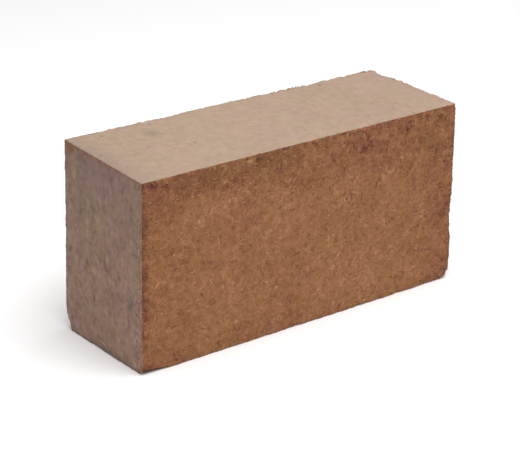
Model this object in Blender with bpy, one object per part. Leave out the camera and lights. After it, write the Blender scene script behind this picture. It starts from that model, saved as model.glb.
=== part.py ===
"""A small bale of pressed coconut coir, standing on one of its long narrow sides.

It is one piece: coir pith and short fibre, pressed hard in a steel mould and dried. The press plates
make the two large faces, at -Y and +Y, and the mould's walls make the top, the base and the two ends.
The edges crumble, a few corners are knocked off, and the block springs back a little out of square.
Metres, +Z up. The origin is in the middle of the base.
"""

import bmesh
import bpy
import numpy as np

# Size of the mould's cavity
LENGTH = 0.200
THICKNESS = 0.070
HEIGHT = 0.100
HALF_SIZE = np.array([LENGTH, THICKNESS, HEIGHT]) / 2
MIDDLE = np.array([0.0, 0.0, HEIGHT / 2])

# A corner is named by the signs of its x, y and z.
# How far each corner stands off the mould's square box after springing back. The base stays flat.
SPRING_BACK = {
    (-1, -1, -1): (-0.0011, 0.0001, 0.0),
    (-1, -1, 1): (0.0008, -0.0006, -0.0001),
    (-1, 1, -1): (-0.0010, 0.0003, 0.0),
    (-1, 1, 1): (0.0019, -0.0004, 0.0019),
    (1, -1, -1): (-0.0008, 0.0004, 0.0),
    (1, -1, 1): (-0.0003, 0.0004, -0.0010),
    (1, 1, -1): (0.0003, 0.0002, 0.0),
    (1, 1, 1): (0.0005, -0.0002, 0.0005),
}

# How crumbled the edges are around each corner, from 0, as crisp as the mould left them, to 1
CRUMBLED = {
    (-1, -1, -1): 0.20,
    (-1, -1, 1): 0.06,
    (-1, 1, -1): 0.20,
    (-1, 1, 1): 0.15,
    (1, -1, -1): 0.45,
    (1, -1, 1): 0.12,
    (1, 1, -1): 1.00,
    (1, 1, 1): 0.60,
}

# Corners knocked off: how far the break reaches along x, y and z
BROKEN_CORNERS = {
    (1, -1, -1): (0.0080, 0.0080, 0.0055),
    (-1, -1, -1): (0.0200, 0.0050, 0.0036),
    (-1, 1, -1): (0.0055, 0.0050, 0.0110),
    (1, -1, 1): (0.0022, 0.0020, 0.0036),
    (1, 1, 1): (0.0036, 0.0040, 0.0024),
    (1, 1, -1): (0.0085, 0.0075, 0.0120),
}
BREAK_GRIT = 0.00045
BREAK_GRIT_WAVELENGTH = 0.0070
BREAK_GRIT_FADE = 0.0010

# Wear along the edges, as a rounding radius that wanders between these two where they are crumbled
LEAST_WEAR = 0.0004
MOST_WEAR = 0.0024
WEAR_WAVELENGTH = 0.024

# Bites out of the edges: the bite's middle on the box, its reach along the edge, and the added radius
EDGE_BITES = (
    ((0.100, -0.035, 0.036), 0.009, 0.0024),
    ((0.100, 0.024, 0.100), 0.006, 0.0026),
    ((0.052, 0.035, 0.100), 0.006, 0.0018),
    ((-0.037, 0.035, 0.100), 0.005, 0.0013),
    ((0.100, 0.035, 0.036), 0.010, 0.0042),
    ((0.018, 0.035, 0.000), 0.012, 0.0046),
    ((-0.061, 0.035, 0.000), 0.008, 0.0036),
)

# Crumbled grain: depth and wavelength of each size of hollow, beside the edges and on the open faces
EDGE_BAND = 0.0045
EDGE_CRUMBLE = ((0.00055, 0.0120), (0.00060, 0.0052))
FACE_PITS = ((0.00010, 0.0340), (0.00030, 0.0080))
PIT_THRESHOLD = 0.80
DEEPEST_HOLLOW = 1.5

# A point of the box belongs to the flat base where its outward direction is within this of straight down
STRAIGHT_DOWN = -0.999

# The skin is shaped on a close grid and then thinned to this many triangles, which stay where it is rough
GRID_STEP = 0.0024
EDGE_STEPS = (0.0006, 0.0014, 0.0026)
CUT_TOLERANCE = 1e-7
TRIANGLES = 9200
SHARP_ANGLE = np.radians(38)

# Thinning lifts or sinks the flat base by a hair: what is left below this height is laid on the ground
LEVEL = 0.0001

PLATE_COLOUR = (0.286, 0.127, 0.060, 1.0)
WALL_COLOUR = (0.335, 0.238, 0.180, 1.0)
ROUGHNESS = 0.95


def wandering(points, wavelength, seed, count=28):
    """Smooth seeded noise with mean 0 and spread 1: a sum of plane waves running in random directions."""
    random = np.random.default_rng(seed)
    directions = random.normal(size=(count, 3))
    directions /= np.linalg.norm(directions, axis=1)[:, None]
    phases = random.uniform(0, 2 * np.pi, count)
    waves = np.cos(points @ directions.T * (2 * np.pi / wavelength) + phases)
    return waves.sum(axis=1) * np.sqrt(2 / count)


def between_corners(points, values):
    """The eight corners' values, mixed at each point by how near it is to each corner along x, y and z."""
    place = (points - MIDDLE) / HALF_SIZE
    mixed = 0.0
    for corner, value in values.items():
        weight = np.prod(0.5 + 0.5 * place * np.array(corner), axis=1)
        mixed = mixed + weight[:, None] * np.array(value)
    return mixed


def wear_radius(points, crumbled):
    """How far the edges are rounded off near each point: a wandering share, plus each bite's own bell curve."""
    share = 0.5 + 0.5 * np.tanh(wandering(points, WEAR_WAVELENGTH, seed=11))
    radius = LEAST_WEAR + (MOST_WEAR - LEAST_WEAR) * share * crumbled
    for middle, reach, added in EDGE_BITES:
        away = np.linalg.norm(points - np.array(middle), axis=1)
        radius += added * np.exp(-((away / reach) ** 2))
    return radius


def round_edges(points, radius):
    """The box with its edges rounded by the radius at each point, and the outward direction there."""
    offset = points - MIDDLE
    inner = HALF_SIZE - radius[:, None]
    core = np.clip(offset, -inner, inner)
    outward = offset - core
    outward /= np.linalg.norm(outward, axis=1)[:, None]
    return MIDDLE + core + outward * radius[:, None], outward


def break_corners(points):
    """Presses each broken corner's points back onto the plane of its break, which is a little rough."""
    points = points.copy()
    grit = BREAK_GRIT * np.abs(wandering(points, BREAK_GRIT_WAVELENGTH, seed=31))
    for corner, reaches in BROKEN_CORNERS.items():
        slopes = np.array(corner) / np.array(reaches)
        steepness = np.linalg.norm(slopes)
        normal = slopes / steepness
        place = MIDDLE + np.array(corner) * HALF_SIZE - normal / steepness
        beyond = np.clip((points - place) @ normal, 0, None)
        pressed = beyond + grit * np.clip(beyond / BREAK_GRIT_FADE, 0, 1)
        points -= normal * pressed[:, None]
    return points


def edge_share(points):
    """1 on an edge of the box, falling to 0 at EDGE_BAND from the nearest edge."""
    to_faces = np.sort(HALF_SIZE - np.abs(points - MIDDLE), axis=1)
    return np.clip(1 - to_faces[:, 1] / EDGE_BAND, 0, 1)


def hollow_depth(points, share, crumbled):
    """How deep the skin is sunk: crumbled grain by the edges, and scattered shallow pits on the faces."""
    depth = np.zeros(len(points))
    for layer, (most, wavelength) in enumerate(EDGE_CRUMBLE):
        grain = np.clip(0.5 + wandering(points, wavelength, seed=41 + layer), 0, None)
        depth += most * share * crumbled * grain
    for layer, (most, wavelength) in enumerate(FACE_PITS):
        hollow = wandering(points, wavelength, seed=51 + layer) - PIT_THRESHOLD
        depth += most * (1 - share) * np.clip(hollow, 0, DEEPEST_HOLLOW)
    return depth


def shaped(points):
    """The worn bale's surface, for points on the surface of the mould's box."""
    share = edge_share(points)
    crumbled = between_corners(points, CRUMBLED)[:, 0]
    rounded, outward = round_edges(points, wear_radius(points, crumbled))
    worn = break_corners(rounded) - outward * hollow_depth(points, share, crumbled)[:, None]
    base = (outward[:, 2] < STRAIGHT_DOWN) & (share == 0)
    worn[base, 2] = 0.0
    return worn + between_corners(worn, SPRING_BACK)


def stations(half_length):
    """Places of the grid's cuts along one axis: close beside the two ends, then evenly spaced."""
    inner = half_length - EDGE_STEPS[-1]
    count = 2 * round(inner / GRID_STEP)
    even = np.linspace(-inner, inner, count + 1)
    beside_end = half_length - np.array(EDGE_STEPS[:-1])
    return np.concatenate([-beside_end, even, beside_end[::-1]])


def gridded_box():
    """A box of the mould's size whose faces are cut into a grid."""
    grid = bmesh.new()
    bmesh.ops.create_cube(grid, size=1.0)
    bmesh.ops.scale(grid, vec=2 * HALF_SIZE, verts=grid.verts)
    for axis in range(3):
        normal = np.eye(3)[axis]
        for station in stations(HALF_SIZE[axis]):
            everything = grid.verts[:] + grid.edges[:] + grid.faces[:]
            bmesh.ops.bisect_plane(
                grid, geom=everything, dist=CUT_TOLERANCE, plane_co=normal * station, plane_no=normal
            )
    bmesh.ops.translate(grid, vec=MIDDLE, verts=grid.verts)
    return grid


def read_points(mesh):
    """The mesh's vertices as rows of x, y and z."""
    points = np.empty(len(mesh.vertices) * 3)
    mesh.vertices.foreach_get("co", points)
    return points.reshape(-1, 3)


def coir_material(name, colour):
    material = bpy.data.materials.new(name)
    material.use_nodes = True
    shader = material.node_tree.nodes["Principled BSDF"]
    shader.inputs["Base Color"].default_value = colour
    shader.inputs["Roughness"].default_value = ROUGHNESS
    shader.inputs["Metallic"].default_value = 0.0
    return material


def lay_flat(bale):
    """Applies the thinning, and lays the base exactly on the ground."""
    thinned = bpy.data.meshes.new_from_object(bale.evaluated_get(bpy.context.evaluated_depsgraph_get()))
    bale.modifiers.clear()
    bale.data = thinned
    points = read_points(thinned)
    points[points[:, 2] < LEVEL, 2] = 0.0
    thinned.vertices.foreach_set("co", points.ravel())


def build_bale():
    """Shapes the gridded box into the bale, then thins the smooth places."""
    grid = gridded_box()
    for face in grid.faces:
        face.material_index = 0 if abs(face.normal.y) > 0.5 else 1
    mesh = bpy.data.meshes.new("coir_bale")
    grid.to_mesh(mesh)
    grid.free()
    mesh.materials.append(coir_material("press_plate_face", PLATE_COLOUR))
    mesh.materials.append(coir_material("mould_wall_face", WALL_COLOUR))

    mesh.vertices.foreach_set("co", shaped(read_points(mesh)).ravel())

    bale = bpy.data.objects.new("coir_bale", mesh)
    bpy.context.scene.collection.objects.link(bale)
    thinning = bale.modifiers.new("thin_the_smooth_places", "DECIMATE")
    thinning.ratio = TRIANGLES / (2 * len(mesh.polygons))
    lay_flat(bale)
    bale.data.shade_smooth()
    bale.data.set_sharp_from_angle(angle=SHARP_ANGLE)


for old in list(bpy.data.objects):
    bpy.data.objects.remove(old)
build_bale()
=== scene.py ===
"""The looks of a small bale of pressed coconut coir, standing on one of its long narrow sides.

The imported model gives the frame. Over it go the bale's own skin, the pith grains and coir fibres that are
pressed into it, and those that have worked loose where it crumbles. Metres, +Z up.
"""

from itertools import product
from math import cos, radians, sin

import bpy
import numpy as np
from mathutils import Matrix, Vector


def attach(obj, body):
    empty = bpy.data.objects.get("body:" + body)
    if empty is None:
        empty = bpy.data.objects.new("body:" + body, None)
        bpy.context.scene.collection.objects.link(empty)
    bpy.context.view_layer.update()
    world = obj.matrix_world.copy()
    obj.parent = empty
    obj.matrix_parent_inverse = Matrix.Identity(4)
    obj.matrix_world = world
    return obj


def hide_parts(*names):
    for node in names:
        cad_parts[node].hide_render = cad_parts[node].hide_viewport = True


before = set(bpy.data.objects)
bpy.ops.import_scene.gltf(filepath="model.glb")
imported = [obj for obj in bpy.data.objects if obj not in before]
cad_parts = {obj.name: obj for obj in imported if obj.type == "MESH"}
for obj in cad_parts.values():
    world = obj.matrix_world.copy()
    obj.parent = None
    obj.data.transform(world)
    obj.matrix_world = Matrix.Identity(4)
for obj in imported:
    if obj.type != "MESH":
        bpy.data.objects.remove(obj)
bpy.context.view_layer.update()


# The view and the light
# A long lens looks down a little on the bale's near upper corner. A broad soft box hangs nearly overhead, a
# little to the front, and a white table throws light back up at the sides.
AZIMUTH = radians(-37.04)
ELEVATION = radians(22.45)
CAMERA_DISTANCE = 1.002
LENS_MM = 133.45
SENSOR_MM = 36.0
LOOK_AT = Vector((-0.0032, 0.0, 0.0377))
SOFT_BOX_PLACE = Vector((0.05, -0.45, 1.52))
SOFT_BOX_SIZE = 1.5
SOFT_BOX_WATTS = 29.9
ROOM_LIGHT = 0.39
TABLE_REACH = 6.0
TABLE_COLOUR = (0.95, 0.95, 0.95, 1.0)
TABLE_ROUGHNESS = 0.9
WHITE = (1.0, 1.0, 1.0, 1.0)


def facing(place, target):
    """The matrix that puts a camera or lamp at a place with its own -Z towards the target, and no roll."""
    back = (place - target).normalized()
    right = Vector((0, 0, 1)).cross(back).normalized()
    turn = Matrix((right, back.cross(right), back)).transposed()
    return Matrix.Translation(place) @ turn.to_4x4()


def make_camera():
    """A long lens that looks at LOOK_AT from the two angles: azimuth from -Y, elevation from level."""
    camera = bpy.data.objects.new("camera", bpy.data.cameras.new("camera"))
    camera.data.lens = LENS_MM
    camera.data.sensor_width = SENSOR_MM
    camera.data.sensor_fit = "HORIZONTAL"
    back = Vector((sin(AZIMUTH) * cos(ELEVATION), -cos(AZIMUTH) * cos(ELEVATION), sin(ELEVATION)))
    camera.matrix_world = facing(LOOK_AT + back * CAMERA_DISTANCE, LOOK_AT)
    bpy.context.scene.collection.objects.link(camera)
    bpy.context.scene.camera = camera


def make_soft_box():
    """A square soft box, turned towards the middle of the bale's base."""
    lamp = bpy.data.lights.new("soft_box", "AREA")
    lamp.shape = "SQUARE"
    lamp.size = SOFT_BOX_SIZE
    lamp.energy = SOFT_BOX_WATTS
    soft_box = bpy.data.objects.new("soft_box", lamp)
    soft_box.matrix_world = facing(SOFT_BOX_PLACE, Vector((0, 0, 0)))
    bpy.context.scene.collection.objects.link(soft_box)


def make_room():
    """Even white light from all round, and plain white where the camera looks past the table."""
    world = bpy.data.worlds.new("room")
    world.use_nodes = True
    nodes, links = world.node_tree.nodes, world.node_tree.links
    lit = nodes["Background"]
    lit.inputs["Strength"].default_value = ROOM_LIGHT
    lit.inputs["Color"].default_value = WHITE
    seen = nodes.new("ShaderNodeBackground")
    seen.inputs["Color"].default_value = WHITE
    path = nodes.new("ShaderNodeLightPath")
    choice = nodes.new("ShaderNodeMixShader")
    links.new(path.outputs["Is Camera Ray"], choice.inputs["Fac"])
    links.new(lit.outputs["Background"], choice.inputs[1])
    links.new(seen.outputs["Background"], choice.inputs[2])
    links.new(choice.outputs["Shader"], nodes["World Output"].inputs["Surface"])
    bpy.context.scene.world = world


def make_table():
    """A flat white square under the bale, wide enough to fill the view."""
    table = bpy.data.meshes.new("table")
    corners = [(x * TABLE_REACH, y * TABLE_REACH, 0) for x, y in ((-1, -1), (1, -1), (1, 1), (-1, 1))]
    table.from_pydata(corners, [], [(0, 1, 2, 3)])
    finish = bpy.data.materials.new("white_table")
    finish.use_nodes = True
    shader = finish.node_tree.nodes["Principled BSDF"]
    shader.inputs["Base Color"].default_value = TABLE_COLOUR
    shader.inputs["Roughness"].default_value = TABLE_ROUGHNESS
    table.materials.append(finish)
    top = bpy.data.objects.new("table", table)
    bpy.context.scene.collection.objects.link(top)


make_camera()
make_soft_box()
make_room()
make_table()
bpy.context.scene.view_settings.view_transform = "Standard"


# The pressed mass
# Coir pith and short fibre, pressed hard in a steel mould and dried as one block. The press plates leave the
# two large faces rough and orange-brown. The mould's walls rub the four narrow sides to a smoother, greyer
# crust, on which the pressed layers show edge-on as fine lines.
MOULD = np.array([0.200, 0.070, 0.100])
HALF_SIZE = MOULD / 2
MIDDLE = np.array([0.0, 0.0, MOULD[2] / 2])

# A corner is named by the signs of its x, y and z. How far each stands off the mould's square box after
# springing back, and how crumbled the edges are around it, from 0, crisp, to 1
SPRING_BACK = {
    (-1, -1, -1): (-0.0011, 0.0001, 0.0),
    (-1, -1, 1): (0.0008, -0.0006, -0.0001),
    (-1, 1, -1): (-0.0010, 0.0003, 0.0),
    (-1, 1, 1): (0.0019, -0.0004, 0.0019),
    (1, -1, -1): (-0.0008, 0.0004, 0.0),
    (1, -1, 1): (-0.0003, 0.0004, -0.0010),
    (1, 1, -1): (0.0003, 0.0002, 0.0),
    (1, 1, 1): (0.0005, -0.0002, 0.0005),
}
CRUMBLED = {
    (-1, -1, -1): 0.20,
    (-1, -1, 1): 0.06,
    (-1, 1, -1): 0.20,
    (-1, 1, 1): 0.15,
    (1, -1, -1): 0.45,
    (1, -1, 1): 0.12,
    (1, 1, -1): 1.00,
    (1, 1, 1): 0.60,
}

# Corners knocked off: how far the break reaches along x, y and z
BROKEN_CORNERS = {
    (1, -1, -1): (0.0080, 0.0080, 0.0055),
    (-1, -1, -1): (0.0200, 0.0050, 0.0036),
    (-1, 1, -1): (0.0055, 0.0050, 0.0110),
    (1, -1, 1): (0.0022, 0.0020, 0.0036),
    (1, 1, 1): (0.0036, 0.0040, 0.0024),
    (1, 1, -1): (0.0085, 0.0075, 0.0120),
}
BREAK_GRIT = 0.00045
BREAK_GRIT_WAVELENGTH = 0.0070
BREAK_GRIT_FADE = 0.0010

# Wear along the edges, as a rounding radius that wanders, and bites out of them: middle, reach, added radius
LEAST_WEAR = 0.0004
MOST_WEAR = 0.0024
WEAR_WAVELENGTH = 0.024
EDGE_BITES = (
    ((0.100, -0.035, 0.036), 0.009, 0.0024),
    ((0.100, 0.024, 0.100), 0.006, 0.0026),
    ((0.052, 0.035, 0.100), 0.006, 0.0018),
    ((-0.037, 0.035, 0.100), 0.005, 0.0013),
    ((0.100, 0.035, 0.036), 0.010, 0.0042),
    ((0.018, 0.035, 0.000), 0.012, 0.0046),
    ((-0.061, 0.035, 0.000), 0.008, 0.0036),
)

# Crumbled grain: depth and wavelength of each size of hollow, beside the edges and on the open faces
EDGE_BAND = 0.0045
EDGE_CRUMBLE = ((0.00055, 0.0120), (0.00060, 0.0052))
FACE_PITS = ((0.00010, 0.0340), (0.00030, 0.0080))
PIT_THRESHOLD = 0.80
DEEPEST_HOLLOW = 1.5

# A point belongs to the flat base where its outward direction is within this of straight down
STRAIGHT_DOWN = -0.999

# Grains of the skin, flattened along y by the press: size along x, y and z, and depth on plates and walls
GRAIN_SIZES = (np.array([0.0030, 0.0017, 0.0030]), np.array([0.0021, 0.0013, 0.0021]))
PLATE_GRAIN_DEPTH = 0.00016
WALL_GRAIN_DEPTH = 0.00006

# The rough darker margins of the plate faces: the axis and end of the edge that each runs along, how far it
# reaches in and how dark it is. The top margin is partly painted shade: its long even slope, 30 mm down the
# faces, stands in for the table's bounce light, which lights them more towards their base, while its dark
# rough band at the edge is the coir's own. Patches break them up: strength and wavelength of each size
MARGINS_WITH_PAINTED_SHADE = (
    # Partly painted shade: darker towards the top, down to 30 mm below it
    (2, 1, 0.0300, 0.40),
    (0, -1, 0.0052, 0.78),
    (0, 1, 0.0220, 0.40),
)
MARGIN_PATCHES = ((0.35, 0.0140), (0.45, 0.0052))

# A margin's rough hollows: depth, how much of it they take, wavelength and deepest
MARGIN_DEPTH = 0.00030
MARGIN_HOLLOWS = 0.4
MARGIN_WAVELENGTH = 0.0042
DEEPEST_IN_MARGIN = 2.0

# Where one finish goes over to the next, from none of it to all: a face is a plate's by how far it looks
# along y, a break or a crumbled edge shows by how far it has gone, and a face looks up by its direction's z
PLATE_TURN = (0.50, 0.85)
BREAK_SHOWS = (0.0001, 0.0006)
CRUMBLE_SHOWS = (0.40, 0.80)
CRUMBLE_DRIFT = 0.5
LOOKS_UP = (0.35, 0.75)

# The borders of stains, smears and peeled places are ragged: how far they wander, and the wavelength. A
# peeled place drifts in strength, shows between two strengths, and is dark by a share
RAGGED = 0.0007
RAGGED_WAVELENGTH = 0.004
PEELED_DRIFT = 0.3
PEELED_SHOWS = (0.25, 0.55)
PEELED_DARKNESS = 0.5

# Blue-grey smears and dark specks on the walls: place, reach and strength. The first row is painted shade: a
# broad grey darkening over the top of the left end, standing in for the table's bounce light, which lights
# the end more towards its base. The row at its foot darkens a thin band along the base of the left end. The
# others are smears and specks of the mould's oil
SMEARS_AND_PAINTED_SHADE = (
    # Painted shade over the top of the left end
    ((-0.100, 0.0100, 0.1050), (0.01, 0.0600, 0.0400), 0.42),
    ((-0.100, -0.0240, 0.0344), (0.01, 0.0030, 0.0042), 1.0),
    ((-0.100, 0.0168, 0.0751), (0.01, 0.0045, 0.0040), 0.6),
    ((-0.100, -0.0006, 0.0780), (0.01, 0.0030, 0.0060), 0.6),
    ((-0.100, 0.0350, 0.0450), (0.01, 0.0011, 0.0700), 0.9),
    # A thin dark band along the foot of the left end
    ((-0.100, 0.0000, 0.0000), (0.01, 0.0400, 0.0022), 0.9),
    ((-0.0596, 0.0179, 0.100), (0.0026, 0.0042, 0.01), 0.7),
    ((-0.0843, 0.0350, 0.100), (0.0030, 0.0020, 0.01), 1.0),
    ((-0.0660, 0.0350, 0.100), (0.0024, 0.0016, 0.01), 0.8),
    ((-0.0440, 0.0350, 0.100), (0.0020, 0.0014, 0.01), 0.8),
    ((0.100, 0.0080, 0.0620), (0.01, 0.0050, 0.0080), 0.8),
    ((0.0300, -0.0100, 0.000), (0.0120, 0.0060, 0.01), 0.8),
)

# Soft dark stains on the plate faces: place, reach and strength
STAINS = (
    ((-0.0955, -0.035, 0.0975), (0.0045, 0.01, 0.0030), 1.0),
    ((-0.0867, -0.035, 0.0960), (0.0035, 0.01, 0.0022), 0.6),
    ((0.0405, -0.035, 0.0893), (0.0050, 0.01, 0.0020), 0.8),
    ((0.0665, -0.035, 0.0957), (0.0040, 0.01, 0.0020), 0.7),
    ((-0.0415, -0.035, 0.0900), (0.0035, 0.01, 0.0030), 0.5),
    ((-0.0990, -0.035, 0.0795), (0.0030, 0.01, 0.0060), 1.0),
    ((-0.0990, -0.035, 0.0680), (0.0028, 0.01, 0.0036), 0.9),
    ((-0.0990, -0.035, 0.0300), (0.0026, 0.01, 0.0050), 0.7),
    ((-0.0975, -0.035, 0.0025), (0.0050, 0.01, 0.0028), 1.0),
    ((0.0440, 0.035, 0.0700), (0.0060, 0.01, 0.0030), 0.7),
    ((-0.0600, 0.035, 0.0300), (0.0050, 0.01, 0.0040), 0.7),
)

# Places where the walls' crust has rubbed thin and the orange-brown inside shows: place, reach and share
PEELED = (
    ((-0.100, 0.0300, 0.0990), (0.004, 0.0055, 0.0042), 0.70),
    ((-0.100, 0.0060, 0.1010), (0.004, 0.0260, 0.0036), 0.36),
    ((-0.100, 0.0310, 0.0860), (0.004, 0.0025, 0.0060), 0.25),
    ((-0.100, -0.0260, 0.1005), (0.004, 0.0100, 0.0030), 0.36),
    ((0.100, -0.0100, 0.1000), (0.004, 0.0160, 0.0040), 0.50),
    ((0.100, 0.0350, 0.0600), (0.004, 0.0040, 0.0200), 0.50),
)

# The skin's grid: its even step, and where its lines stand close together beside the edges
SKIN_STEP = 0.00102
SKIN_EDGE_STEPS = (0.00015, 0.0004, 0.0008)


def wandering(points, wavelength, seed, count=28):
    """Smooth seeded noise with mean 0 and spread 1: a sum of plane waves running in random directions."""
    random = np.random.default_rng(seed)
    directions = random.normal(size=(count, 3))
    directions /= np.linalg.norm(directions, axis=1)[:, None]
    phases = random.uniform(0, 2 * np.pi, count)
    waves = np.cos(points @ directions.T * (2 * np.pi / wavelength) + phases)
    return waves.sum(axis=1) * np.sqrt(2 / count)


def rising(values, low, high):
    """0 below low and 1 above high, joined by the smooth curve 3s^2 - 2s^3."""
    share = np.clip((values - low) / (high - low), 0, 1)
    return share * share * (3 - 2 * share)


def between_corners(points, values):
    """The eight corners' values, mixed at each point by how near it is to each corner along x, y and z."""
    place = (points - MIDDLE) / HALF_SIZE
    mixed = 0.0
    for corner, value in values.items():
        weight = np.prod(0.5 + 0.5 * place * np.array(corner), axis=1)
        mixed = mixed + weight[:, None] * np.array(value)
    return mixed


def wear_radius(points, crumbled):
    """How far the edges are rounded off: a wandering share, plus each bite's own bell curve."""
    share = 0.5 + 0.5 * np.tanh(wandering(points, WEAR_WAVELENGTH, seed=11))
    radius = LEAST_WEAR + (MOST_WEAR - LEAST_WEAR) * share * crumbled
    for middle, reach, added in EDGE_BITES:
        away = np.linalg.norm(points - np.array(middle), axis=1)
        radius += added * np.exp(-((away / reach) ** 2))
    return radius


def round_edges(points, radius):
    """The box with its edges rounded by the radius at each point, and the outward direction there."""
    offset = points - MIDDLE
    inner = HALF_SIZE - radius[:, None]
    core = np.clip(offset, -inner, inner)
    outward = offset - core
    outward /= np.linalg.norm(outward, axis=1)[:, None]
    return MIDDLE + core + outward * radius[:, None], outward


def break_corners(points):
    """Presses each broken corner's points back onto the plane of its break, and says how far they moved."""
    points = points.copy()
    total = np.zeros(len(points))
    grit = BREAK_GRIT * np.abs(wandering(points, BREAK_GRIT_WAVELENGTH, seed=31))
    for corner, reaches in BROKEN_CORNERS.items():
        slopes = np.array(corner) / np.array(reaches)
        steepness = np.linalg.norm(slopes)
        normal = slopes / steepness
        place = MIDDLE + np.array(corner) * HALF_SIZE - normal / steepness
        beyond = np.clip((points - place) @ normal, 0, None)
        pressed = beyond + grit * np.clip(beyond / BREAK_GRIT_FADE, 0, 1)
        points -= normal * pressed[:, None]
        total += pressed
    return points, total


def edge_share(points):
    """1 on an edge of the box, falling to 0 at EDGE_BAND from the nearest edge."""
    to_faces = np.sort(HALF_SIZE - np.abs(points - MIDDLE), axis=1)
    return np.clip(1 - to_faces[:, 1] / EDGE_BAND, 0, 1)


def hollow_depth(points, share, crumbled):
    """How deep the skin is sunk: crumbled grain by the edges, and scattered shallow pits on the faces."""
    depth = np.zeros(len(points))
    for layer, (most, wavelength) in enumerate(EDGE_CRUMBLE):
        grain = np.clip(0.5 + wandering(points, wavelength, seed=41 + layer), 0, None)
        depth += most * share * crumbled * grain
    for layer, (most, wavelength) in enumerate(FACE_PITS):
        hollow = wandering(points, wavelength, seed=51 + layer) - PIT_THRESHOLD
        depth += most * (1 - share) * np.clip(hollow, 0, DEEPEST_HOLLOW)
    return depth


def plate_margin(points):
    """How dark a plate face's margin is at each point: falling in an even slope from the edge to its reach,
    and broken up by patches of two sizes. The top margin's long slope is partly painted shade."""
    offset = points - MIDDLE
    darkest = np.zeros(len(points))
    for axis, end, reach, strength in MARGINS_WITH_PAINTED_SHADE:
        inwards = HALF_SIZE[axis] - end * offset[:, axis]
        darkest = np.maximum(darkest, strength * np.clip(1 - inwards / reach, 0, 1))
    patches = np.zeros(len(points))
    for layer, (strength, wavelength) in enumerate(MARGIN_PATCHES):
        patches += strength * wandering(points, wavelength, seed=61 + layer)
    return np.clip(darkest * (1 + patches), 0, 1)


def worn_skin(points):
    """The worn bale's surface for points on the mould's box, the outward directions there, and what each
    point's finish is made of: how much it is a plate face, a margin, a break or a crumbled edge, and how
    upright."""
    share = edge_share(points)
    crumbled = between_corners(points, CRUMBLED)[:, 0]
    rounded, outward = round_edges(points, wear_radius(points, crumbled))
    whole, broken = break_corners(rounded)
    worn = whole - outward * hollow_depth(points, share, crumbled)[:, None]
    base = (outward[:, 2] < STRAIGHT_DOWN) & (share == 0)
    worn[base, 2] = 0.0
    plate = rising(np.abs(outward[:, 1]), *PLATE_TURN)
    drift = CRUMBLE_DRIFT * wandering(points, RAGGED_WAVELENGTH, seed=63)
    made = {
        "plate": plate,
        "margin": plate * plate_margin(points),
        "broken": rising(broken, *BREAK_SHOWS),
        "crumbled": rising(share * crumbled * (1 + drift), *CRUMBLE_SHOWS),
        "upright": 1 - rising(outward[:, 2], *LOOKS_UP),
    }
    return worn + between_corners(worn, SPRING_BACK), outward, made


CELL_MIX = np.array([[127.1, 269.5, 419.2], [311.7, 183.3, 371.9], [74.7, 246.1, 118.7]])
CELL_FACTOR = 43758.5453


def cell_random(cells, seed):
    """Three seeded numbers from 0 to 1 for each whole-numbered cell: the part after a large sine's point."""
    return np.modf(np.abs(np.sin(cells @ CELL_MIX + seed)) * CELL_FACTOR)[0]


def grain_gaps(points, size, seed):
    """0 on top of a grain and 1 between grains. Each cell of a lattice holds one grain at a random place, and
    the value is the square of the distance to the nearest one, measured in cells."""
    places = points / size
    cell = np.floor(places)
    nearest = np.full(len(points), np.inf)
    for step in product((-1, 0, 1), repeat=3):
        there = cell + step
        away = places - there - cell_random(there, seed)
        nearest = np.minimum(nearest, (away**2).sum(axis=1))
    return np.clip(nearest, 0, 1)


def grained_skin(points):
    """The worn surface with grains raised on it: each point sinks by its gap between the grains, most on the
    plate faces, and in their margins by rough hollows too."""
    worn, outward, made = worn_skin(points)
    gaps = sum(grain_gaps(points, size, seed) for seed, size in enumerate(GRAIN_SIZES)) / len(GRAIN_SIZES)
    depth = gaps * (WALL_GRAIN_DEPTH + (PLATE_GRAIN_DEPTH - WALL_GRAIN_DEPTH) * made["plate"])
    hollows = np.clip(MARGIN_HOLLOWS + wandering(points, MARGIN_WAVELENGTH, seed=64), 0, DEEPEST_IN_MARGIN)
    depth += made["margin"] * MARGIN_DEPTH * hollows
    grained = worn - outward * depth[:, None]
    grained[:, 2] = np.clip(grained[:, 2], 0, None)
    return grained, made


def bells(points, spots):
    """The strongest of several soft spots at each point, each a bell curve with its own three reaches."""
    strongest = np.zeros(len(points))
    for middle, reach, strength in spots:
        away = (points - np.array(middle)) / np.array(reach)
        strongest = np.maximum(strongest, strength * np.exp(-(away**2).sum(axis=1)))
    return strongest


def finish_at(points, made):
    """The finish at points of the mould's box: how much plate, dark, grey and dust, each from 0 to 1. Dark
    is the margins, partly painted shade, the stains and the peeled places; grey is the smears, with painted
    shade over the top of the left end; dust pales faces that look up, as real dust and as painted light on the
    top.
    """
    drift = wandering(points, RAGGED_WAVELENGTH, seed=71)
    shifts = [wandering(points, RAGGED_WAVELENGTH, seed) for seed in (72, 73, 74)]
    ragged = points + RAGGED * np.array(shifts).T
    bare = np.zeros(len(points))
    for middle, reach, share in PEELED:
        near = bells(ragged, [(middle, reach, 1.0)]) * (1 + PEELED_DRIFT * drift)
        bare = np.maximum(bare, share * made["upright"] * rising(near, *PEELED_SHOWS))
    plate = np.maximum.reduce([made["plate"], made["broken"], bare, made["crumbled"]])
    # Smears, and painted shade over the top of the left end
    grey = bells(ragged, SMEARS_AND_PAINTED_SHADE) * (1 - plate)
    # Real dust on faces that look up, and painted light that makes the top paler than the scene's light makes
    # it
    dust = (1 - made["upright"]) * (1 - plate)
    stained = made["plate"] * bells(ragged, STAINS)
    dark = np.maximum.reduce([made["margin"], PEELED_DARKNESS * bare, stained])
    return {"plate": plate, "dark": dark, "grey": grey, "dust": dust}


def lines_along(half_length):
    """Grid lines along one axis of the box: close together beside its two edges, and even between them."""
    inner = half_length - SKIN_EDGE_STEPS[-1]
    even = np.linspace(-inner, inner, 2 * round(inner / SKIN_STEP) + 1)
    close = half_length - np.array((0.0,) + SKIN_EDGE_STEPS[:-1])
    return np.concatenate([-close, even, close[::-1]])


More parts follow.
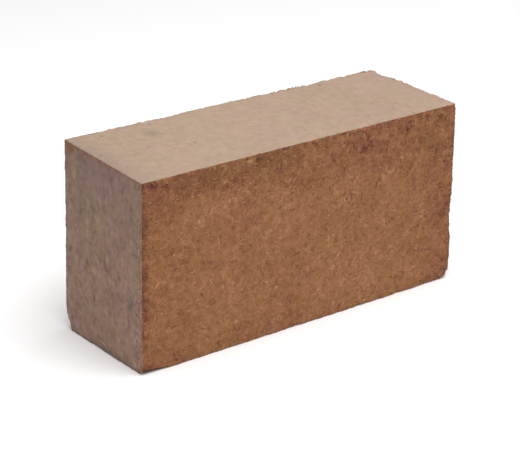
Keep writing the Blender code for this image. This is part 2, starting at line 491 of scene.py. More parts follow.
def box_grid(lines):
    """A closed box as the points of a lattice that lie on its six faces, and the quads between them. A point
    is known by its three line numbers, so faces that meet share their points."""
    counts = np.array([len(line) for line in lines])
    quads = []
    for axis, end in product(range(3), (0, 1)):
        across, up = (axis + 1) % 3, (axis + 2) % 3
        number = np.zeros((counts[across], counts[up], 3), dtype=int)
        number[..., axis] = end * (counts[axis] - 1)
        number[..., across] = np.arange(counts[across])[:, None]
        number[..., up] = np.arange(counts[up])[None, :]
        key = (number[..., 0] * counts[1] + number[..., 1]) * counts[2] + number[..., 2]
        around = [key[:-1, :-1], key[1:, :-1], key[1:, 1:], key[:-1, 1:]]
        quads.append(np.stack(around if end else around[::-1], axis=-1).reshape(-1, 4))
    keys, faces = np.unique(np.concatenate(quads), return_inverse=True)
    numbers = np.stack([keys // (counts[1] * counts[2]), keys // counts[2] % counts[1], keys % counts[2]])
    points = np.stack([line[number] for line, number in zip(lines, numbers)], axis=1)
    return points, faces.reshape(-1, 4)


def make_piece(name, points, faces, finish, material, smooth=False):
    """A piece from rows of points and rows of point numbers, one for each face, with one value of each kind
    of finish at each point. It rides with the bale and holds the material it is given."""
    mesh = bpy.data.meshes.new(name)
    mesh.vertices.add(len(points))
    mesh.vertices.foreach_set("co", points.ravel())
    mesh.loops.add(faces.size)
    mesh.loops.foreach_set("vertex_index", faces.ravel())
    mesh.polygons.add(len(faces))
    mesh.polygons.foreach_set("loop_start", np.arange(0, faces.size, faces.shape[1]))
    mesh.update(calc_edges=True)
    for kind, values in finish.items():
        mesh.attributes.new(kind, "FLOAT", "POINT").data.foreach_set("value", values.astype(np.float32))
    mesh.materials.append(material)
    if smooth:
        mesh.shade_smooth()
    else:
        mesh.shade_flat()
    piece = bpy.data.objects.new(name, mesh)
    bpy.context.scene.collection.objects.link(piece)
    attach(piece, "root")
    return piece


def add_node(tree, kind, sockets, **settings):
    """A node with its settings, each socket named or numbered getting a value or another node's output."""
    made = tree.nodes.new(kind)
    for name, value in settings.items():
        setattr(made, name, value)
    for socket, value in sockets.items():
        if isinstance(value, bpy.types.NodeSocket):
            tree.links.new(value, made.inputs[socket])
        else:
            made.inputs[socket].default_value = value
    return made


def joined(tree, operation, first, second):
    """The two values added, multiplied or otherwise joined."""
    return add_node(tree, "ShaderNodeMath", {0: first, 1: second}, operation=operation).outputs[0]


def blended(tree, share, first, second, kind="MIX"):
    """The first colour going over to the second by the share."""
    sockets = {0: share, 6: first, 7: second}
    return add_node(tree, "ShaderNodeMix", sockets, data_type="RGBA", blend_type=kind).outputs[2]


def noise(tree, vector, scale, detail=2.0):
    """Blender's noise on a vector, from 0 to 1 round 0.5, its patches one over the scale wide."""
    sockets = {"Vector": vector, "Scale": scale, "Detail": detail}
    return add_node(tree, "ShaderNodeTexNoise", sockets).outputs[0]


def stretched(tree, vector, scale):
    """The vector scaled along x, y and z, so that a pattern on it is finer where the scale is larger."""
    return add_node(tree, "ShaderNodeMapping", {"Vector": vector, "Scale": scale}).outputs[0]


def own(tree, kind):
    """The piece's own value of that kind, as make_piece stored it at each point."""
    return add_node(tree, "ShaderNodeAttribute", {}, attribute_name=kind).outputs["Fac"]


def ramp(tree, tone, colours):
    """Coir's colour by its tone: the colours at the four tones of TONE_STOPS, blended evenly between them."""
    made = add_node(tree, "ShaderNodeValToRGB", {0: tone})
    points = made.color_ramp.elements
    while len(points) < len(TONE_STOPS):
        points.new(1.0)
    for point, stop, colour in zip(points, TONE_STOPS, colours):
        point.position = stop
        point.color = (*colour, 1.0)
    return made.outputs[0]


def start_group(name, inputs, outputs):
    """An empty node group with those inputs, as name and default, and outputs, as name and socket type. An
    input whose default is None is a vector."""
    tree = bpy.data.node_groups.new(name, "ShaderNodeTree")
    for label, default in inputs.items():
        kind = "NodeSocketVector" if default is None else "NodeSocketFloat"
        socket = tree.interface.new_socket(label, in_out="INPUT", socket_type=kind)
        if default is not None:
            socket.default_value = default
    for label, kind in outputs.items():
        tree.interface.new_socket(label, in_out="OUTPUT", socket_type=kind)
    return tree, tree.nodes.new("NodeGroupInput").outputs, tree.nodes.new("NodeGroupOutput").inputs


# One over a grain's width. The mottle is drawn out along y. Its noises: how much finer than a grain each is,
# and its detail. Its tone is made of these and of each grain's chance, in these shares
GRAIN_SCALE = 520.0
MOTTLE_STRETCH = (1.0, 0.7, 1.0)
MOTTLE_NOISES = {"clouds": (0.55, 2.0), "patches": (0.28, 2.0), "dust": (3.5, 3.0)}
MOTTLE_SHARES = {"clouds": 0.53, "patches": 0.28, "chance": 0.14, "dust": 0.05}


def pith_mottle():
    """Pith grains over cloudy patches: the tone is the weighed sum of three noises and a chance value for
    each grain, and the height is the clouds less the way to the grain's middle."""
    inputs = {"Vector": None, "Size": GRAIN_SCALE}
    outputs = {"Tone": "NodeSocketFloat", "Height": "NodeSocketFloat"}
    tree, given, result = start_group("pith_mottle", inputs, outputs)
    drawn_out = stretched(tree, given["Vector"], MOTTLE_STRETCH)
    parts = {}
    for name, (finer, detail) in MOTTLE_NOISES.items():
        parts[name] = noise(tree, drawn_out, joined(tree, "MULTIPLY", given["Size"], finer), detail)
    grains = add_node(tree, "ShaderNodeTexVoronoi", {"Vector": drawn_out, "Scale": given["Size"]})
    parts["chance"] = add_node(tree, "ShaderNodeSeparateColor", {0: grains.outputs["Color"]}).outputs[0]
    total = 0.0
    for name, share in MOTTLE_SHARES.items():
        total = joined(tree, "ADD", total, joined(tree, "MULTIPLY", parts[name], share))
    tree.links.new(total, result["Tone"])
    tree.links.new(joined(tree, "SUBTRACT", parts["clouds"], grains.outputs["Distance"]), result["Height"])
    return tree


# Coir's colours at four tones, from its darkest pith to its lightest fibre: yellower and redder patches of
# the plate faces, and the walls' crust. Then what greys the crust in smears and in painted shade, what pales
# it as dust and as painted light on the top, and how a margin is darkened, partly as painted shade
TONE_STOPS = (0.20, 0.46, 0.58, 0.84)
PLATE_YELLOW = (
    (0.138, 0.052, 0.022),
    (0.261, 0.115, 0.045),
    (0.312, 0.143, 0.058),
    (0.472, 0.246, 0.117),
)
PLATE_RED = (
    (0.133, 0.044, 0.027),
    (0.261, 0.108, 0.049),
    (0.312, 0.137, 0.062),
    (0.472, 0.236, 0.124),
)
WALL_BROWN = (
    (0.135, 0.079, 0.050),
    (0.269, 0.176, 0.108),
    (0.310, 0.208, 0.131),
    (0.431, 0.313, 0.216),
)
WALL_GREY = (
    (0.137, 0.075, 0.058),
    (0.277, 0.161, 0.127),
    (0.318, 0.191, 0.152),
    (0.436, 0.303, 0.242),
)
# The colour of the smears, and of the painted shade over the top of the left end
SMEAR_AND_SHADE_COLOUR = (0.106, 0.096, 0.106, 1.0)
# The pale of faces that look up: real dust, and painted light that makes the top paler than the scene's light
# does
DUST_AND_TOP_LIGHT_COLOUR = (0.469, 0.360, 0.268, 1.0)
DARKENING_YELLOW = (0.57, 0.50, 0.46, 1.0)
DARKENING_RED = (0.69, 0.50, 0.60, 1.0)

# Drifting patches: the scales of their broad and fine noises, and the sums of the two between which yellower
# goes over to redder. How far the broad noise pales the tone, and how much the dust with its painted top light
# and the smears with their painted shade cover
BROAD_DRIFT = 32.0
FINE_DRIFT = 150.0
REDDENS = (0.80, 1.20)
PALING = 0.28
DUST_AND_TOP_LIGHT_COVER = 0.48
SMEAR_AND_SHADE_COVER = 0.60


def coir_colour():
    """Coir's colour by its tone, warmer or cooler in drifting patches: orange-brown inside and on the plate
    faces, greyer on the walls' crust. Then darkened in margins, partly as painted shade, greyed in smears and
    in painted shade, and paled by dust and by painted light on the top, all read from the piece itself."""
    inputs = {"Vector": None, "Tone": 0.5}
    tree, given, result = start_group("coir_colour", inputs, {"Colour": "NodeSocketColor"})
    broad = add_node(tree, "ShaderNodeTexNoise", {"Vector": given["Vector"], "Scale": BROAD_DRIFT})
    paler, redder, _ = add_node(tree, "ShaderNodeSeparateColor", {0: broad.outputs["Color"]}).outputs
    drift = joined(tree, "ADD", noise(tree, given["Vector"], FINE_DRIFT), redder)
    patches = add_node(tree, "ShaderNodeMapRange", {0: drift, 1: REDDENS[0], 2: REDDENS[1]}).outputs[0]
    paling = joined(tree, "MULTIPLY", joined(tree, "SUBTRACT", paler, 0.5), PALING)
    tone = joined(tree, "ADD", given["Tone"], paling)
    plate = blended(tree, patches, ramp(tree, tone, PLATE_YELLOW), ramp(tree, tone, PLATE_RED))
    wall = blended(tree, patches, ramp(tree, tone, WALL_BROWN), ramp(tree, tone, WALL_GREY))
    # Paled on faces that look up, by dust and by painted top light
    wall = blended(tree, joined(tree, "MULTIPLY", own(tree, "dust"), DUST_AND_TOP_LIGHT_COVER), wall, DUST_AND_TOP_LIGHT_COLOUR)
    # Greyed in smears and in painted shade
    wall = blended(tree, joined(tree, "MULTIPLY", own(tree, "grey"), SMEAR_AND_SHADE_COVER), wall, SMEAR_AND_SHADE_COLOUR)
    both = blended(tree, own(tree, "plate"), wall, plate)
    darkening = blended(tree, patches, DARKENING_YELLOW, DARKENING_RED)
    darkened = blended(tree, 1.0, both, darkening, kind="MULTIPLY")
    tree.links.new(blended(tree, own(tree, "dark"), both, darkened), result["Colour"])
    return tree


def place_group(tree, group, sockets):
    """A node group placed in a material, with its inputs' own values there."""
    return add_node(tree, "ShaderNodeGroup", sockets, node_tree=group).outputs


mottle_group = pith_mottle()
colour_group = coir_colour()

# The walls' pressed layers and their finer strands: scale along x, y and z. How the two mix, between which of
# their values the streaks run from dark to light, and how much they show on an upright wall and on one that
# looks up, under its dust and painted top light
LAYER_SCALE = (190.0, 180.0, 140.0)
STRAND_SCALE = (330.0, 320.0, 280.0)
STRAND_DETAIL = 3.0
STRAND_SHARE = 0.50
STREAK_RANGE = (0.20, 0.80)
LAYERS_SHOW = (0.7, 0.1)

# Roughness of the walls and of the plate faces, the height of the dry bumps, and coir's dull gloss
SKIN_ROUGHNESS = (0.78, 0.92)
BUMP_STRENGTH = 0.7
BUMP_HEIGHT = 0.0003
COIR_GLOSS = 0.25


def start_material(name):
    """A coir material: itself, its nodes, its shader, and the place on the piece for its patterns."""
    material = bpy.data.materials.new(name)
    material.use_nodes = True
    tree = material.node_tree
    shader = tree.nodes["Principled BSDF"]
    shader.inputs["Specular IOR Level"].default_value = COIR_GLOSS
    return material, tree, shader, add_node(tree, "ShaderNodeTexCoord", {}).outputs["Object"]


def skin_material():
    """The skin: the mottle, crossed on the walls by the pressed layers' fine lines, over rough dry bumps."""
    material, tree, shader, place = start_material("pressed_coir")
    mottle = place_group(tree, mottle_group, {"Vector": place, "Size": GRAIN_SCALE})
    layers = noise(tree, stretched(tree, place, LAYER_SCALE), 1.0)
    strands = noise(tree, stretched(tree, place, STRAND_SCALE), 1.0, STRAND_DETAIL)
    both = add_node(tree, "ShaderNodeMix", {0: STRAND_SHARE, 2: layers, 3: strands}).outputs[0]
    dark_at, light_at = STREAK_RANGE
    streaks = add_node(tree, "ShaderNodeMapRange", {0: both, 1: dark_at, 2: light_at}).outputs[0]
    upright, facing_up = LAYERS_SHOW
    showing = add_node(tree, "ShaderNodeMapRange", {0: own(tree, "dust"), 3: upright, 4: facing_up}).outputs[0]
    layered = joined(tree, "MULTIPLY", joined(tree, "SUBTRACT", 1.0, own(tree, "plate")), showing)
    tone = add_node(tree, "ShaderNodeMix", {0: layered, 2: mottle["Tone"], 3: streaks}).outputs[0]
    colour = place_group(tree, colour_group, {"Vector": place, "Tone": tone})["Colour"]
    height = add_node(tree, "ShaderNodeMix", {0: layered, 2: mottle["Height"], 3: streaks}).outputs[0]
    bumpy = {"Height": height, "Strength": BUMP_STRENGTH, "Distance": BUMP_HEIGHT}
    bump = add_node(tree, "ShaderNodeBump", bumpy).outputs[0]
    on_wall, on_plate = SKIN_ROUGHNESS
    rough = add_node(tree, "ShaderNodeMapRange", {0: own(tree, "plate"), 3: on_wall, 4: on_plate}).outputs[0]
    tree.links.new(colour, shader.inputs["Base Color"])
    tree.links.new(bump, shader.inputs["Normal"])
    tree.links.new(rough, shader.inputs["Roughness"])
    return material


skin_points, skin_faces = box_grid([lines_along(half) for half in HALF_SIZE])
skin_points += MIDDLE
skin_places, skin_made = grained_skin(skin_points)
skin_finish = finish_at(skin_points, skin_made)
skin = make_piece("pressed_coir", skin_places, skin_faces, skin_finish, skin_material(), smooth=True)
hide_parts("coir_bale")


# The fibres of the plate faces
# Short bits of coir fibre and a few long ones, lying in all directions. The press plates flattened them into
# the faces at -Y and +Y, so each is half sunk and its ends dive into the pith.

# For each kind: how many, points along it, usual length and its spread, usual half-width and its spread, and
# bend. Then the contrast of each kind's tones, and how proud both kinds stand
PLATE_FIBRES = (
    (4000, 5, 0.0036, 0.40, 0.00040, 0.35, 1.6),
    (900, 9, 0.0066, 0.35, 0.00028, 0.30, 2.2),
)
PLATE_CONTRASTS = (0.95, 1.3)
PLATE_PROUD = (-0.5, 0.5)

# A fibre's height for its width, and how much thinner its tips are. Its tone: light, or dark for some
FIBRE_FLATNESS = 0.24
FIBRE_TAPER = 0.80
LIGHT_FIBRE = 0.57
DARK_FIBRE = 0.40
DARK_SHARE = 0.34
TONE_SPREAD = 0.07
FIBRE_TONE_LIMITS = (0.05, 0.95)


def on_face(axis, end, across, up):
    """Points of the box's face at that end of an axis, from their places along the next two axes in turn. A
    place beyond the face is held at its border."""
    points = np.empty(across.shape + (3,))
    points[..., axis] = end * HALF_SIZE[axis]
    for other, places in (((axis + 1) % 3, across), ((axis + 2) % 3, up)):
        points[..., other] = np.clip(places, -HALF_SIZE[other], HALF_SIZE[other])
    return points + MIDDLE


def bent_paths(random, heading, length, stations, bend):
    """Paths of bent fibres round their own middles. The heading turns evenly by a random bend and sways as a
    random part of one sine wave, and the path is the running sum of equal steps along it."""
    share = (np.arange(stations - 1) + 0.5) / (stations - 1)
    column = (len(length), 1)
    turn = random.normal(0, bend, column) * (share - 0.5)
    sway = random.normal(0, bend / 3, column) * np.sin(2 * np.pi * (share + random.random(column)))
    angle = heading[:, None] + turn + sway
    steps = np.stack([np.cos(angle), np.sin(angle)]) * (length[:, None] / (stations - 1))
    path = np.concatenate([np.zeros((2, *column)), np.cumsum(steps, axis=2)], axis=2)
    return path - path.mean(axis=2, keepdims=True)


def tubes(centres, outward, half_width, half_height):
    """Closed three-sided tubes along rows of centres, with one corner outwards. Each ring stands square to
    its path, and the first and last centres are the tips."""
    count, stations = centres.shape[:2]
    along = centres[:, 2:] - centres[:, :-2]
    along /= np.linalg.norm(along, axis=2, keepdims=True)
    side = np.cross(outward[:, 1:-1], along)
    side /= np.linalg.norm(side, axis=2, keepdims=True)
    out = np.cross(along, side)
    corner = np.pi / 2 + 2 * np.pi * np.arange(3) / 3
    wide = side[:, :, None] * (half_width[:, 1:-1, None] * np.cos(corner))[..., None]
    high = out[:, :, None] * (half_height[:, 1:-1, None] * np.sin(corner))[..., None]
    rings = (centres[:, 1:-1, None] + wide + high).reshape(count, -1, 3)
    points = np.concatenate([rings, centres[:, :1], centres[:, -1:]], axis=1)
    first, last = 3 * (stations - 2), 3 * (stations - 2) + 1
    faces = []
    for ring, here in product(range(stations - 3), range(3)):
        low, low_next = 3 * ring + here, 3 * ring + (here + 1) % 3
        faces += [(low, low_next, low_next + 3), (low, low_next + 3, low + 3)]
    for here in range(3):
        there = (here + 1) % 3
        faces += [(there, here, first), (first - 3 + here, first - 3 + there, last)]
    numbered = np.array(faces)[None] + (np.arange(count) * (last + 1))[:, None, None]
    return points.reshape(-1, 3), numbered.reshape(-1, 3)


def per_tube_point(values):
    """Values at rows of centres, repeated for the points that tubes() makes of them."""
    rings = np.repeat(values[:, 1:-1], 3, axis=1)
    return np.concatenate([rings, values[:, :1], values[:, -1:]], axis=1).ravel()


def fibre_tones(random, count, contrast):
    """Each fibre's tone: a dark share and a light rest, both with that spread, at that contrast round 0.5."""
    middle = np.where(random.random(count) < DARK_SHARE, DARK_FIBRE, LIGHT_FIBRE)
    tones = 0.5 + contrast * (random.normal(middle, TONE_SPREAD) - 0.5)
    return np.clip(tones, *FIBRE_TONE_LIMITS)


def lay_fibres(random, face, middles, heading, kind, tones, proud, rise=0.0):
    """Fibres of one kind lying on a face: bent paths on the worn surface, thickest in the middle, with ends
    that dive in by their own height. Proud is how far they stand out, as a share of that height, from the
    first value to the second. A rise lifts the far end by up to that much, with the square of the way."""
    count, stations, length, length_spread, width, width_spread, bend = kind
    lengths = length * np.exp(random.normal(0, length_spread, count))
    widths = width * np.exp(random.normal(0, width_spread, (count, 1)))
    path = bent_paths(random, heading, lengths, stations, bend)
    box_points = on_face(*face, middles[0][:, None] + path[0], middles[1][:, None] + path[1])
    places, outward, made = worn_skin(box_points.reshape(-1, 3))
    finish = finish_at(box_points.reshape(-1, 3), made)
    way = np.linspace(0, 1, stations)
    half_width = widths * (1 - FIBRE_TAPER * (2 * way - 1) ** 2)
    dive = (2 * way - 1) ** 4 * np.where((way > 0.5) & (rise > 0), 0, 1)
    lift = FIBRE_FLATNESS * widths * (random.uniform(*proud, (count, 1)) * (1 - dive) - dive)
    lift = lift + random.uniform(0, rise, (count, 1)) * way**2
    shape = (count, stations)
    outward = outward.reshape(*shape, 3)
    centres = places.reshape(*shape, 3) + outward * lift[..., None]
    points, faces = tubes(centres, outward, half_width, FIBRE_FLATNESS * half_width)
    points[:, 2] = np.clip(points[:, 2], 0, None)
    finish = {name: per_tube_point(values.reshape(shape)) for name, values in finish.items()}
    finish["tone"] = per_tube_point(np.repeat(tones[:, None], stations, axis=1))
    return points, faces, finish


def gathered(parts):
    """Several sets of points, faces and finishes as one, with the faces' point numbers moved on."""
    starts = np.cumsum([0] + [len(points) for points, faces, finish in parts])
    points = np.concatenate([part[0] for part in parts])
    faces = np.concatenate([part[1] + start for part, start in zip(parts, starts)])
    finish = {name: np.concatenate([part[2][name] for part in parts]) for name in parts[0][2]}
    return points, faces, finish


def spread_over(random, face, count):
    """Random places over a face, as two rows along the next two axes."""
    halves = [HALF_SIZE[(face[0] + step) % 3] for step in (1, 2)]
    return [random.uniform(-half, half, count) for half in halves]


FIBRE_ROUGHNESS = 0.8
BLOTCH_SCALE = 700.0
BLOTCH_CONTRAST = 0.25


def fibre_material():
    """Loose and pressed-in coir: each fibre or grain in its own tone, a little blotched along its length."""
    material, tree, shader, place = start_material("coir_fibre")
    swing = joined(tree, "SUBTRACT", noise(tree, place, BLOTCH_SCALE), 0.5)
    tone = joined(tree, "ADD", own(tree, "tone"), joined(tree, "MULTIPLY", swing, BLOTCH_CONTRAST))
    colour = place_group(tree, colour_group, {"Vector": place, "Tone": tone})["Colour"]
    tree.links.new(colour, shader.inputs["Base Color"])
    shader.inputs["Roughness"].default_value = FIBRE_ROUGHNESS
    return material


fibre_finish = fibre_material()
for side_name, side_end, side_seed in (("front", -1, 101), ("back", 1, 102)):
    side_random = np.random.default_rng(side_seed)
    side_face = (1, side_end)
    side_parts = []
    for side_kind, side_contrast in zip(PLATE_FIBRES, PLATE_CONTRASTS):
        side_middles = spread_over(side_random, side_face, side_kind[0])
        side_heading = side_random.uniform(0, np.pi, side_kind[0])
        side_tones = fibre_tones(side_random, side_kind[0], side_contrast)
        side_parts.append(
            lay_fibres(side_random, side_face, side_middles, side_heading, side_kind, side_tones, PLATE_PROUD)
        )
    make_piece(f"{side_name}_fibres", *gathered(side_parts), fibre_finish)


# The fibres of the walls
# Finer fibres that lie along the pressed layers. The mould's walls rubbed them almost flush into the crust of
# the top, the base and the two ends, and a few pale or dark strands stand out on the left end.

# For each face: its axis and end, the layers' heading there, how far the fibres scatter from it, their share
# of all the walls' fibres and their contrast
WALL_FACES = (
    ((2, 1), 0.0, 2.0, 0.34, 0.4),
    ((2, -1), 0.0, 0.8, 0.26, 0.8),
    ((0, -1), np.pi / 2, 0.7, 0.22, 0.9),
    ((0, 1), np.pi / 2, 0.7, 0.18, 0.9),
)
WALL_FIBRES = (
    (5000, 5, 0.0028, 0.45, 0.00024, 0.35, 0.8),
    (700, 9, 0.0080, 0.35, 0.00012, 0.30, 0.9),
)
WALL_PROUD = (-0.8, -0.1)

# Single strands seen on the left end: the place along y and z, heading, length, half-width, bend and tone
STRAND_POINTS = 9
STRAND_PROUD = (0.6, 0.6)
END_STRANDS = (
    (-0.0074, 0.0876, 1.45, 0.0060, 0.00060, 0.5, 0.76),
    (-0.0040, 0.0820, 1.70, 0.0050, 0.00045, 0.5, 0.70),
    (0.0244, 0.0589, 1.20, 0.0028, 0.00050, 0.5, 0.84),
    (0.0040, 0.0464, 1.60, 0.0028, 0.00050, 0.5, 0.84),
    (0.0000, 0.0040, 0.50, 0.0090, 0.00040, 1.2, 0.84),
    (-0.0170, 0.0420, 1.90, 0.0080, 0.00040, 0.8, 0.72),
    (-0.0015, 0.0490, 1.57, 0.0120, 0.00060, 0.3, 0.34),
    (-0.0030, 0.0460, 1.50, 0.0080, 0.00050, 0.3, 0.36),
    (-0.0290, 0.0170, 1.80, 0.0100, 0.00045, 0.8, 0.74),
    (-0.0310, 0.0290, 1.30, 0.0060, 0.00045, 0.8, 0.72),
)

wall_random = np.random.default_rng(103)
wall_parts = []
for wall_face, wall_heading, wall_scatter, wall_share, wall_contrast in WALL_FACES:
    for all_walls_count, *wall_shape in WALL_FIBRES:
        wall_count = round(all_walls_count * wall_share)
        wall_middles = spread_over(wall_random, wall_face, wall_count)
        wall_headings = wall_random.normal(wall_heading, wall_scatter, wall_count)
        wall_tones = fibre_tones(wall_random, wall_count, wall_contrast)
        wall_kind = (wall_count, *wall_shape)
        wall_parts.append(
            lay_fibres(wall_random, wall_face, wall_middles, wall_headings, wall_kind, wall_tones, WALL_PROUD)
        )
for *strand_place, strand_heading, strand_length, strand_width, strand_bend, strand_tone in END_STRANDS:
    wall_parts.append(
        lay_fibres(
            wall_random,
            (0, -1),
            [np.array([strand_place[0]]), np.array([strand_place[1] - MIDDLE[2]])],
            np.array([strand_heading]),
            (1, STRAND_POINTS, strand_length, 0.0, strand_width, 0.0, strand_bend),
            np.array([strand_tone]),
            STRAND_PROUD,
        )
    )
make_piece("wall_fibres", *gathered(wall_parts), fibre_finish)


# The pith crumbs
# Grains of spongy pith between the fibres, mostly about a millimetre across, and a few dark red flakes of
# husk and shell. The press flattened them into the faces, and they sit thicker along the edges.

# For each set of grains: the piece, its face, how many, their half-size and the tones' middle and spread
CRUMB_SETS = (
    ("front_crumbs", (1, -1), 4000, 0.00062, 0.50, 0.05),
    ("front_crumbs", (1, -1), 280, 0.00075, 0.34, 0.05),
    ("front_crumbs", (1, -1), 320, 0.00055, 0.68, 0.05),
    ("back_crumbs", (1, 1), 3500, 0.00062, 0.50, 0.05),
    ("back_crumbs", (1, 1), 280, 0.00075, 0.34, 0.05),
    ("back_crumbs", (1, 1), 320, 0.00055, 0.68, 0.05),
    ("wall_crumbs", (2, 1), 1300, 0.00100, 0.50, 0.080),
    ("wall_crumbs", (2, -1), 700, 0.00055, 0.50, 0.06),
    ("wall_crumbs", (0, -1), 700, 0.00060, 0.50, 0.05),
    ("wall_crumbs", (0, 1), 700, 0.00060, 0.50, 0.06),
)

# The grains' spread of size, their length for their width, how uneven they are, and the limits of their tone
CRUMB_SIZE_SPREAD = 0.35
CRUMB_ASPECT = (1.0, 3.0)
CRUMB_JITTER = 0.28
CRUMB_TONE_LIMITS = (0.20, 0.70)

# How thick a grain is for its size and how deep it is sunk for its thickness, on the walls, which rubbed it
# flush, and on the plate faces
WALL_CRUMB = np.array([0.14, 0.90])
PLATE_CRUMB = np.array([0.26, 0.42])

# More grains beside the edges of a face. For each set: the piece, its face, whether the edge lies across the
# face's first or second next axis, at which end, how many, how far in, their half-size and the tones
EDGE_CRUMBS = (
    ("front_crumbs", (1, -1), 0, 1, 1000, 0.0070, 0.00060, (0.47, 0.13)),
    ("front_crumbs", (1, -1), 1, -1, 260, 0.0024, 0.00060, (0.48, 0.08)),
    ("front_crumbs", (1, -1), 1, -1, 24, 0.0012, 0.00070, (0.32, 0.04)),
    ("front_crumbs", (1, -1), 1, -1, 40, 0.0026, 0.00050, (0.70, 0.05)),
    ("front_crumbs", (1, -1), 1, 1, 300, 0.0040, 0.00060, (0.44, 0.12)),
    ("back_crumbs", (1, 1), 0, 1, 900, 0.0070, 0.00060, (0.47, 0.13)),
    ("back_crumbs", (1, 1), 1, -1, 300, 0.0026, 0.00060, (0.44, 0.14)),
    ("back_crumbs", (1, 1), 1, 1, 400, 0.0026, 0.00060, (0.44, 0.14)),
    ("wall_crumbs", (0, -1), 0, -1, 280, 0.0026, 0.00095, (0.48, 0.20)),
    ("wall_crumbs", (0, -1), 1, 1, 160, 0.0014, 0.00055, (0.45, 0.10)),
    ("wall_crumbs", (0, -1), 0, -1, 60, 0.0024, 0.00070, (0.70, 0.05)),
    ("wall_crumbs", (0, -1), 0, 1, 200, 0.0016, 0.00050, (0.47, 0.07)),
    ("wall_crumbs", (0, 1), 0, -1, 200, 0.0016, 0.00055, (0.46, 0.09)),
)

# Flakes and specks seen on the front face and the left end: the place across and up, how far they scatter,
# how many, their half-size and their tone
FRONT_FLAKES = (
    (0.0239, 0.0050, 0.0010, 4, 0.0009, 0.08),
    (-0.0552, 0.0048, 0.0010, 4, 0.0009, 0.08),
    (-0.0415, 0.0880, 0.0008, 3, 0.0008, 0.12),
    (-0.0857, 0.0950, 0.0016, 7, 0.0008, 0.20),
    (-0.0941, 0.0980, 0.0020, 12, 0.0008, 0.20),
    (0.0405, 0.0893, 0.0026, 8, 0.0009, 0.16),
    (0.0665, 0.0957, 0.0016, 5, 0.0008, 0.12),
    (0.0942, 0.0682, 0.0008, 3, 0.0008, 0.10),
    (0.0286, 0.0637, 0.0008, 3, 0.0008, 0.18),
    (-0.0047, 0.0218, 0.0010, 3, 0.0008, 0.14),
    (0.0436, 0.0037, 0.0008, 3, 0.0008, 0.10),
    (0.0940, 0.0426, 0.0008, 3, 0.0008, 0.15),
    (-0.0395, 0.0403, 0.0008, 2, 0.0008, 0.25),
    (-0.0646, 0.0721, 0.0009, 4, 0.0008, 0.84),
    (-0.0465, 0.0807, 0.0016, 4, 0.0006, 0.80),
    (0.0178, 0.0449, 0.0003, 2, 0.0005, 0.95),
    (-0.0813, 0.0596, 0.0003, 2, 0.0005, 0.95),
)
END_FLAKES = (
    (-0.0074, 0.0876, 0.0004, 2, 0.0007, 0.92),
    (0.0244, 0.0589, 0.0004, 2, 0.0005, 0.90),
    (0.0040, 0.0464, 0.0004, 2, 0.0005, 0.90),
    (-0.0120, 0.0640, 0.0012, 3, 0.0008, 0.38),
    (-0.0250, 0.0520, 0.0010, 3, 0.0008, 0.38),
    (0.0150, 0.0250, 0.0012, 3, 0.0008, 0.38),
)
FLAKE_SIZE_SPREAD = 0.25
FLAKE_TONE_SPREAD = 0.05
FLAKE_TONE_LIMITS = (0.02, 0.98)


def grain_shape():
    """A regular icosahedron of radius 1: a point at each pole and two rings of five between them, and its 20
    faces."""
    turns = 2 * np.pi * np.arange(5) / 5
    height = 1 / np.sqrt(5)
    points = [(0.0, 0.0, 1.0)]
    for ring_turns, ring_height in ((turns, height), (turns + np.pi / 5, -height)):
        points += [(2 * height * cos(turn), 2 * height * sin(turn), ring_height) for turn in ring_turns]
    points.append((0.0, 0.0, -1.0))
    faces = []
    for here in range(5):
        upper, upper_next, lower, lower_next = 1 + here, 1 + (here + 1) % 5, 6 + here, 6 + (here + 1) % 5
        faces += [(0, upper, upper_next), (upper, lower, upper_next)]
        faces += [(upper_next, lower, lower_next), (11, lower_next, lower)]
    return np.array(points), np.array(faces)


def lay_crumbs(random, face, middles, half_size, tone):
    """Flattened grains lying in a face, each an icosahedron stretched one way, turned at random in the face
    and with every point pushed in or out a little. Each keeps its own half-length away from the face's edges,
    and goes from a wall's thickness and depth to a plate's by the finish there."""
    count = len(half_size)
    aspect = np.sqrt(random.uniform(*CRUMB_ASPECT, count))
    rooms = [HALF_SIZE[(face[0] + step) % 3] - half_size * aspect for step in (1, 2)]
    box_points = on_face(*face, *(np.clip(places, -room, room) for places, room in zip(middles, rooms)))
    places, outward, made = worn_skin(box_points)
    finish = finish_at(box_points, made)
    shape, faces = grain_shape()
    first = np.zeros(3)
    first[(face[0] + 1) % 3] = 1.0
    second = np.cross(outward, first)
    second /= np.linalg.norm(second, axis=1)[:, None]
    first = np.cross(second, outward)
    turn = random.uniform(0, 2 * np.pi, count)[:, None]
    along = first * np.cos(turn) + second * np.sin(turn)
    aside = second * np.cos(turn) - first * np.sin(turn)
    thickness, sink = WALL_CRUMB[:, None] + (PLATE_CRUMB - WALL_CRUMB)[:, None] * finish["plate"]
    sizes = half_size[:, None] * np.stack([aspect, 1 / aspect, thickness], axis=1)
    uneven = random.uniform(1 - CRUMB_JITTER, 1 + CRUMB_JITTER, (count, len(shape), 1))
    grains = shape[None] * sizes[:, None] * uneven
    sunk = places - outward * (sizes[:, 2] * sink)[:, None]
    points = sunk[:, None] + grains @ np.stack([along, aside, outward], axis=1)
    points[..., 2] = np.clip(points[..., 2], 0, None)
    numbered = faces[None] + (np.arange(count) * len(shape))[:, None, None]
    finish = {name: np.repeat(values, len(shape)) for name, values in finish.items()}
    finish["tone"] = np.repeat(np.clip(tone, *FLAKE_TONE_LIMITS), len(shape))
    return points.reshape(-1, 3), numbered.reshape(-1, 3), finish


def common_crumbs(random, face, middles, half_size, tones):
    """Grains with sizes spread round the usual half-size, and tones spread round their middle, in limits."""
    count = len(middles[0])
    sizes = half_size * np.exp(random.normal(0, CRUMB_SIZE_SPREAD, count))
    return lay_crumbs(random, face, middles, sizes, np.clip(random.normal(*tones, count), *CRUMB_TONE_LIMITS))


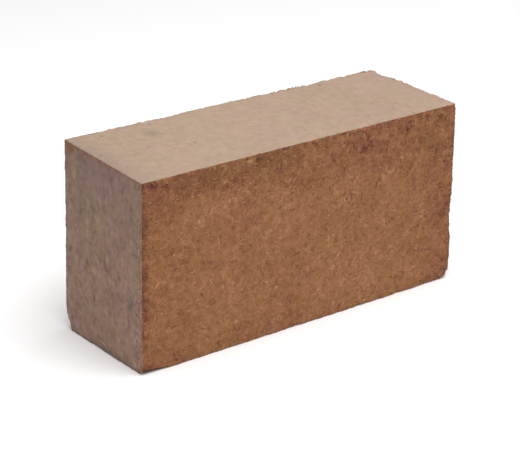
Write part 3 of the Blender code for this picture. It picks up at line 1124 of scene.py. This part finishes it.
def beside_edge(random, face, across, end, count, reach):
    """Random places along one edge of a face, mostly within the reach of it, as two rows along its next two
    axes. The edge lies across the first or the second of these, at that end."""
    half = HALF_SIZE[(face[0] + 1 + across) % 3]
    other = HALF_SIZE[(face[0] + 2 - across) % 3]
    inwards = end * (half - np.abs(random.normal(0, reach, count)))
    along = random.uniform(-other, other, count)
    return [along, inwards] if across else [inwards, along]


def flakes(random, face, clusters):
    """Clusters of flakes on a face: each at its place, scattered by its own width."""
    parts = []
    for across, up, width, count, half_size, tone in clusters:
        scattered = [random.normal(place, width, count) for place in (across, up)]
        sizes = half_size * np.exp(random.normal(0, FLAKE_SIZE_SPREAD, count))
        tones = random.normal(tone, FLAKE_TONE_SPREAD, count)
        parts.append(lay_crumbs(random, face, scattered, sizes, tones))
    return gathered(parts)


crumb_random = np.random.default_rng(104)
crumb_parts = {}
for crumb_piece, crumb_face, crumb_count, crumb_size, *crumb_tones in CRUMB_SETS:
    crumb_middles = spread_over(crumb_random, crumb_face, crumb_count)
    crumbs = common_crumbs(crumb_random, crumb_face, crumb_middles, crumb_size, crumb_tones)
    crumb_parts.setdefault(crumb_piece, []).append(crumbs)
for crumb_piece, crumb_face, *crumb_edge, crumb_size, crumb_tones in EDGE_CRUMBS:
    crumb_middles = beside_edge(crumb_random, crumb_face, *crumb_edge)
    crumbs = common_crumbs(crumb_random, crumb_face, crumb_middles, crumb_size, crumb_tones)
    crumb_parts[crumb_piece].append(crumbs)
front_flakes = [(z - MIDDLE[2], x, *rest) for x, z, *rest in FRONT_FLAKES]
end_flakes = [(y, z - MIDDLE[2], *rest) for y, z, *rest in END_FLAKES]
crumb_parts["front_crumbs"].append(flakes(crumb_random, (1, -1), front_flakes))
crumb_parts["wall_crumbs"].append(flakes(crumb_random, (0, -1), end_flakes))
for crumb_piece, piece_parts in crumb_parts.items():
    make_piece(crumb_piece, *gathered(piece_parts), fibre_finish)


# The loose fibres of the edges
# Fibre ends that stand out where the crust has crumbled, mostly at the back and right-hand edges and around
# the broken corners.

# As the fibres of the faces, but the first value is how many there would be along a metre of edge, on each of
# its two faces, if it were all crumbled. Then how far in from the edge they lie, and how they stand up
EDGE_FIBRES = (1464, 5, 0.0032, 0.40, 0.00013, 0.30, 1.3)
EDGE_REACH = 0.0012
EDGE_PROUD = (0.0, 0.6)
EDGE_RISE = 0.0005
EDGE_CONTRAST = 1.0

edge_random = np.random.default_rng(105)
edge_parts = []
for edge_face in product(range(3), (-1, 1)):
    for edge_across, edge_end in product((0, 1), (-1, 1)):
        edge_length = MOULD[(edge_face[0] + 2 - edge_across) % 3]
        full_count = round(EDGE_FIBRES[0] * edge_length)
        edge_middles = beside_edge(edge_random, edge_face, edge_across, edge_end, full_count, EDGE_REACH)
        edge_crumbled = between_corners(on_face(*edge_face, *edge_middles), CRUMBLED)[:, 0]
        kept = edge_random.random(full_count) < edge_crumbled
        edge_count = kept.sum()
        edge_parts.append(
            lay_fibres(
                edge_random,
                edge_face,
                [places[kept] for places in edge_middles],
                edge_random.uniform(0, 2 * np.pi, edge_count),
                (edge_count, *EDGE_FIBRES[1:]),
                fibre_tones(edge_random, edge_count, EDGE_CONTRAST),
                EDGE_PROUD,
                EDGE_RISE,
            )
        )
make_piece("edge_fibres", *gathered(edge_parts), fibre_finish)
